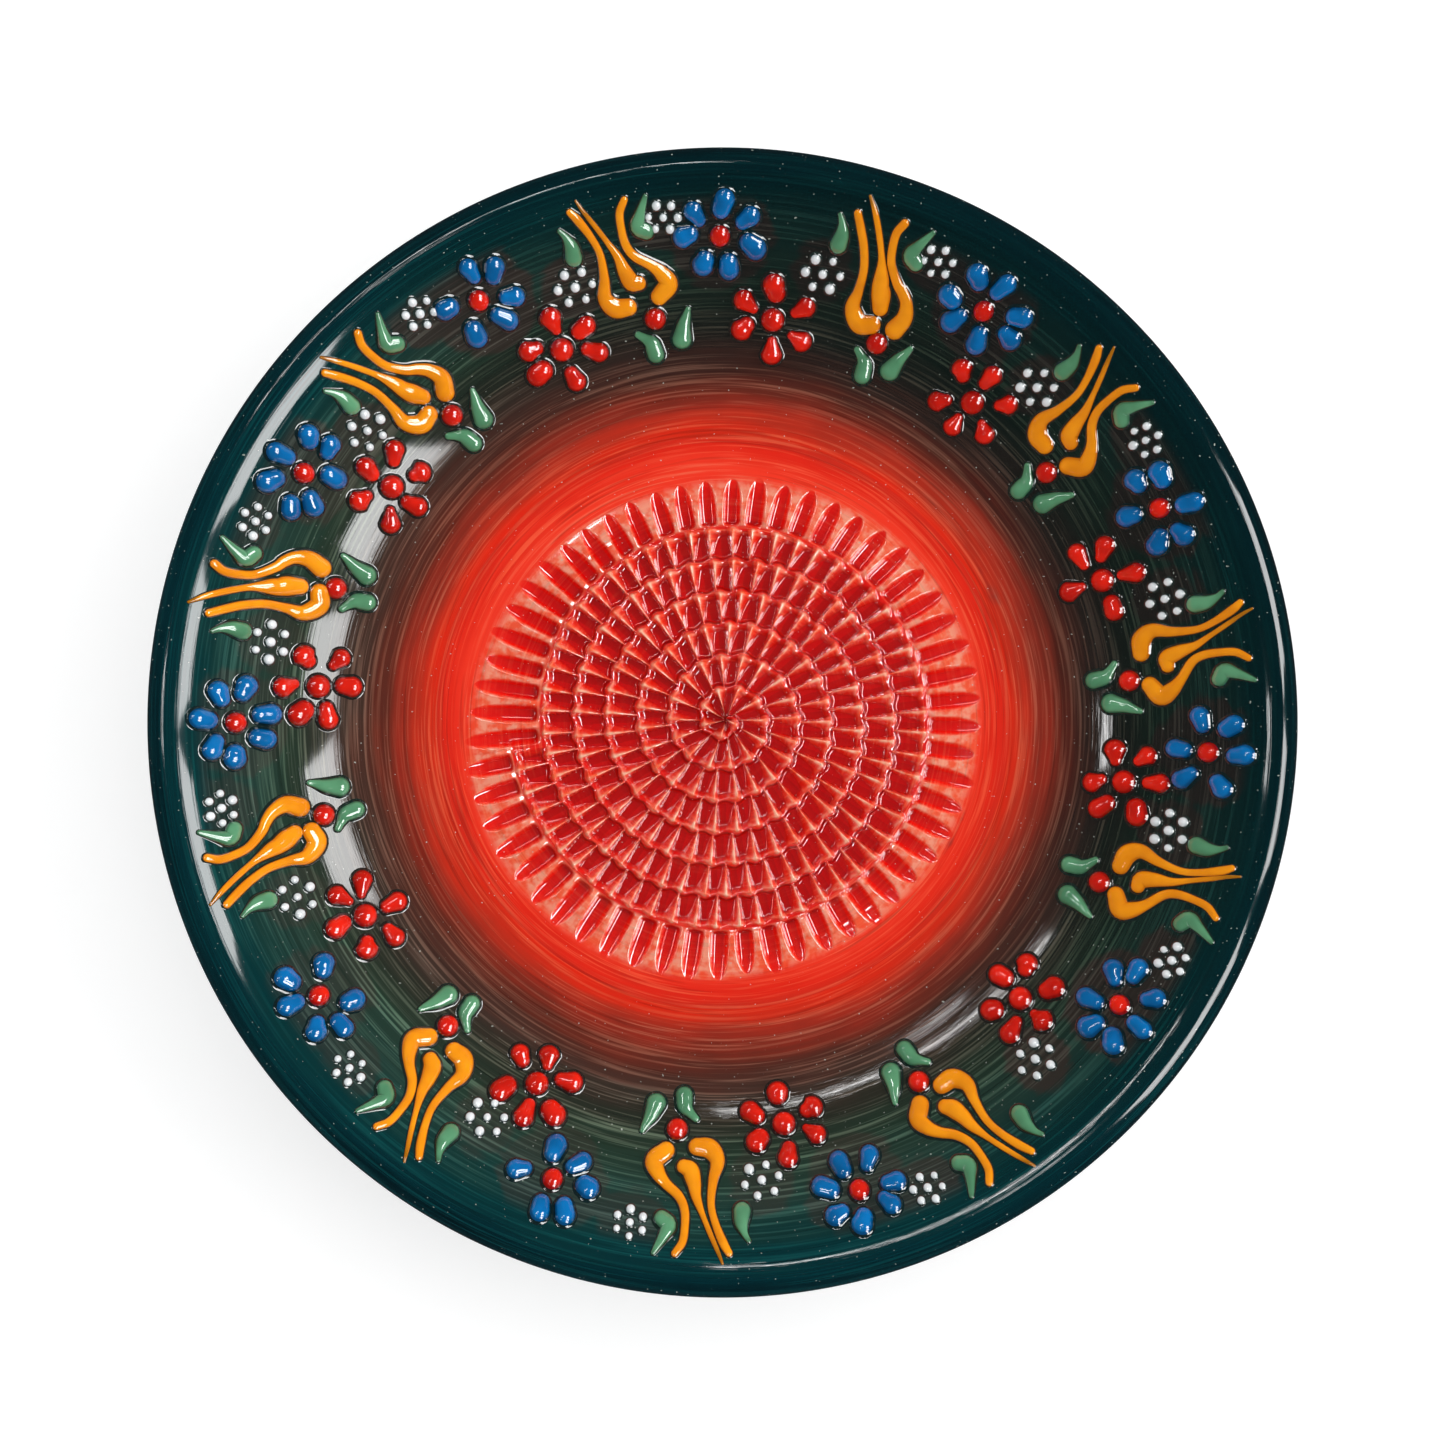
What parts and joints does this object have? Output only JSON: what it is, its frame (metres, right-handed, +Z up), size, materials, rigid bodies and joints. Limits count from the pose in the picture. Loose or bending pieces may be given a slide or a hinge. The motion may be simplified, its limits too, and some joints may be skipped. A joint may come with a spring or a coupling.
{
  "type": "ceramic grater plate",
  "caption": "Round glazed pottery dish with a scored grater in its floor and a raised flower border, on a foot ring.",
  "frame": {"origin": "centre of the foot ring's resting face", "axes": "+Z up through the middle of the dish; +X to the right and +Y away from the viewer when the dish is seen from above"},
  "size_m": [0.13, 0.13, 0.0206],
  "materials": {
    "red_clay": "matt",
    "brushed_glaze": "gloss",
    "red_glaze": "gloss",
    "orange_enamel": "gloss",
    "green_enamel": "gloss",
    "white_enamel": "gloss",
    "blue_enamel": "gloss",
    "red_enamel": "gloss"
  },
  "bodies": {
    "root": {"clay_body": "red_clay", "glaze_coat": "brushed_glaze", "grater_teeth": "red_glaze", "tulip_01": "orange_enamel", "leaves_01": "green_enamel", "white_dots_01": "white_enamel", "blue_flower_01": "blue_enamel", "red_flower_01": "red_enamel", "tulip_02": "orange_enamel", "leaves_02": "green_enamel", "white_dots_02": "white_enamel", "blue_flower_02": "blue_enamel", "red_flower_02": "red_enamel", "tulip_03": "orange_enamel", "leaves_03": "green_enamel", "white_dots_03": "white_enamel", "blue_flower_03": "blue_enamel", "red_flower_03": "red_enamel", "tulip_04": "orange_enamel", "leaves_04": "green_enamel", "white_dots_04": "white_enamel", "blue_flower_04": "blue_enamel", "red_flower_04": "red_enamel", "tulip_05": "orange_enamel", "leaves_05": "green_enamel", "white_dots_05": "white_enamel", "blue_flower_05": "blue_enamel", "red_flower_05": "red_enamel", "tulip_06": "orange_enamel", "leaves_06": "green_enamel", "white_dots_06": "white_enamel", "blue_flower_06": "blue_enamel", "red_flower_06": "red_enamel", "tulip_07": "orange_enamel", "leaves_07": "green_enamel", "white_dots_07": "white_enamel", "blue_flower_07": "blue_enamel", "red_flower_07": "red_enamel", "tulip_08": "orange_enamel", "leaves_08": "green_enamel", "white_dots_08": "white_enamel", "blue_flower_08": "blue_enamel", "red_flower_08": "red_enamel", "tulip_09": "orange_enamel", "leaves_09": "green_enamel", "white_dots_09": "white_enamel", "blue_flower_09": "blue_enamel", "red_flower_09": "red_enamel", "tulip_10": "orange_enamel", "leaves_10": "green_enamel", "white_dots_10": "white_enamel", "blue_flower_10": "blue_enamel", "red_flower_10": "red_enamel", "tulip_11": "orange_enamel", "leaves_11": "green_enamel", "white_dots_11": "white_enamel", "blue_flower_11": "blue_enamel", "red_flower_11": "red_enamel", "tulip_buds": "red_enamel", "blue_flower_centres": "red_enamel"}
  },
  "joints": []
}
